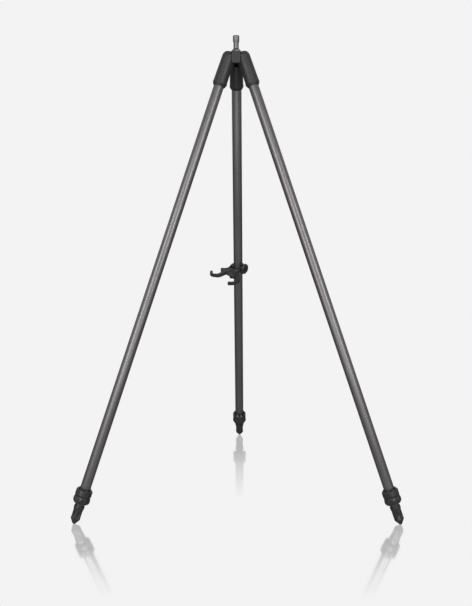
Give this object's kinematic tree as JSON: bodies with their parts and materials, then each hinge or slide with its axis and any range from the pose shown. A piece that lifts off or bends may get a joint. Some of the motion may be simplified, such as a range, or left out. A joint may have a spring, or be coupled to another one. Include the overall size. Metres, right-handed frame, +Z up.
{
  "type": "rod tripod",
  "caption": "folding stand of telescopic tube legs on a moulded hub with a plain round peg on top, twist locks, pointed feet and a hooked catch that holds the folded legs",
  "frame": {"origin": "on the floor, under the middle of the box round the three spread feet", "axes": "+Z up; -Y is the front, between the left and right legs; +X is the viewer's right, where the right leg stands; the rear leg runs towards +Y"},
  "size_m": [0.6983, 0.6078, 1.0186],
  "materials": {
    "tube": "satin gunmetal coating on drawn tube",
    "hub": "dark grey moulding with a fine grain",
    "plastic": "black moulded plastic, slightly glossy",
    "pale": "natural bearing plastic",
    "peg": "dull turned metal",
    "pin": "darkened steel",
    "steel": "plain machined steel"
  },
  "bodies": {
    "hub": {"hub": "hub", "peg": "peg", "peg_nut": "peg", "hinge_pin_left": "pin", "hinge_pin_right": "pin", "hinge_pin_rear": "pin"},
    "leg_left": {"leg_sleeve_left": "hub", "upper_tube_left": "tube", "lock_collar_left": "plastic", "lock_collet_left": "pale"},
    "lock_left": {"lock_nut_left": "plastic"},
    "lower_left": {"inner_tube_left": "tube", "tube_bush_left": "pale", "foot_left": "plastic"},
    "leg_right": {"leg_sleeve_right": "hub", "upper_tube_right": "tube", "lock_collar_right": "plastic", "lock_collet_right": "pale"},
    "lock_right": {"lock_nut_right": "plastic"},
    "lower_right": {"inner_tube_right": "tube", "tube_bush_right": "pale", "foot_right": "plastic"},
    "leg_rear": {"leg_sleeve_rear": "hub", "upper_tube_rear": "tube", "lock_collar_rear": "plastic", "lock_collet_rear": "pale"},
    "lock_rear": {"lock_nut_rear": "plastic"},
    "lower_rear": {"inner_tube_rear": "tube", "tube_bush_rear": "pale", "foot_rear": "plastic"},
    "catch_slide": {"catch_liner": "plastic"},
    "catch": {"leg_catch": "plastic"},
    "knob": {"catch_knob": "plastic", "catch_screw": "steel"}
  },
  "joints": [
    {"name": "fold_left", "type": "hinge", "parent": "hub", "child": "leg_left", "pos_m": [-0.01771, -0.10775, 0.968], "axis": [0.5, -0.866, 0], "range_deg": [0, 20.03]},
    {"name": "twist_lock_left", "type": "hinge", "parent": "leg_left", "child": "lock_left", "pos_m": [-0.32673, -0.28616, 0.0495], "axis": [0.3136, 0.1811, 0.9321], "range_deg": [-90, 0]},
    {"name": "extend_left", "type": "slide", "parent": "leg_left", "child": "lower_left", "axis": [-0.3136, -0.1811, -0.9321], "range_m": [0, 0.75]},
    {"name": "fold_right", "type": "hinge", "parent": "hub", "child": "leg_right", "pos_m": [0.01771, -0.10775, 0.968], "axis": [0.5, 0.866, 0], "range_deg": [0, 20.03]},
    {"name": "twist_lock_right", "type": "hinge", "parent": "leg_right", "child": "lock_right", "pos_m": [0.32673, -0.28616, 0.0495], "axis": [-0.3136, 0.1811, 0.9321], "range_deg": [-90, 0]},
    {"name": "extend_right", "type": "slide", "parent": "leg_right", "child": "lower_right", "axis": [0.3136, -0.1811, -0.9321], "range_m": [0, 0.75]},
    {"name": "fold_rear", "type": "hinge", "parent": "hub", "child": "leg_rear", "pos_m": [0, -0.07707, 0.968], "axis": [-1, 0, 0], "range_deg": [0, 20.03]},
    {"name": "twist_lock_rear", "type": "hinge", "parent": "leg_rear", "child": "lock_rear", "pos_m": [0, 0.27975, 0.0495], "axis": [0, -0.3621, 0.9321], "range_deg": [-90, 0]},
    {"name": "extend_rear", "type": "slide", "parent": "leg_rear", "child": "lower_rear", "axis": [0, 0.3621, -0.9321], "range_m": [0, 0.75]},
    {"name": "catch_height", "type": "slide", "parent": "leg_rear", "child": "catch_slide", "axis": [0, -0.3621, 0.9321], "range_m": [-0.38, 0]},
    {"name": "catch_turn", "type": "hinge", "parent": "catch_slide", "child": "catch", "pos_m": [0, 0.10919, 0.48853], "axis": [0, -0.3621, 0.9321], "range_deg": [-311.5, 47.5]},
    {"name": "knob_turn", "type": "hinge", "parent": "catch", "child": "knob", "pos_m": [0.0131, 0.09648, 0.494], "axis": [0.7986, -0.561, -0.2179], "range_deg": [0, 540]}
  ]
}
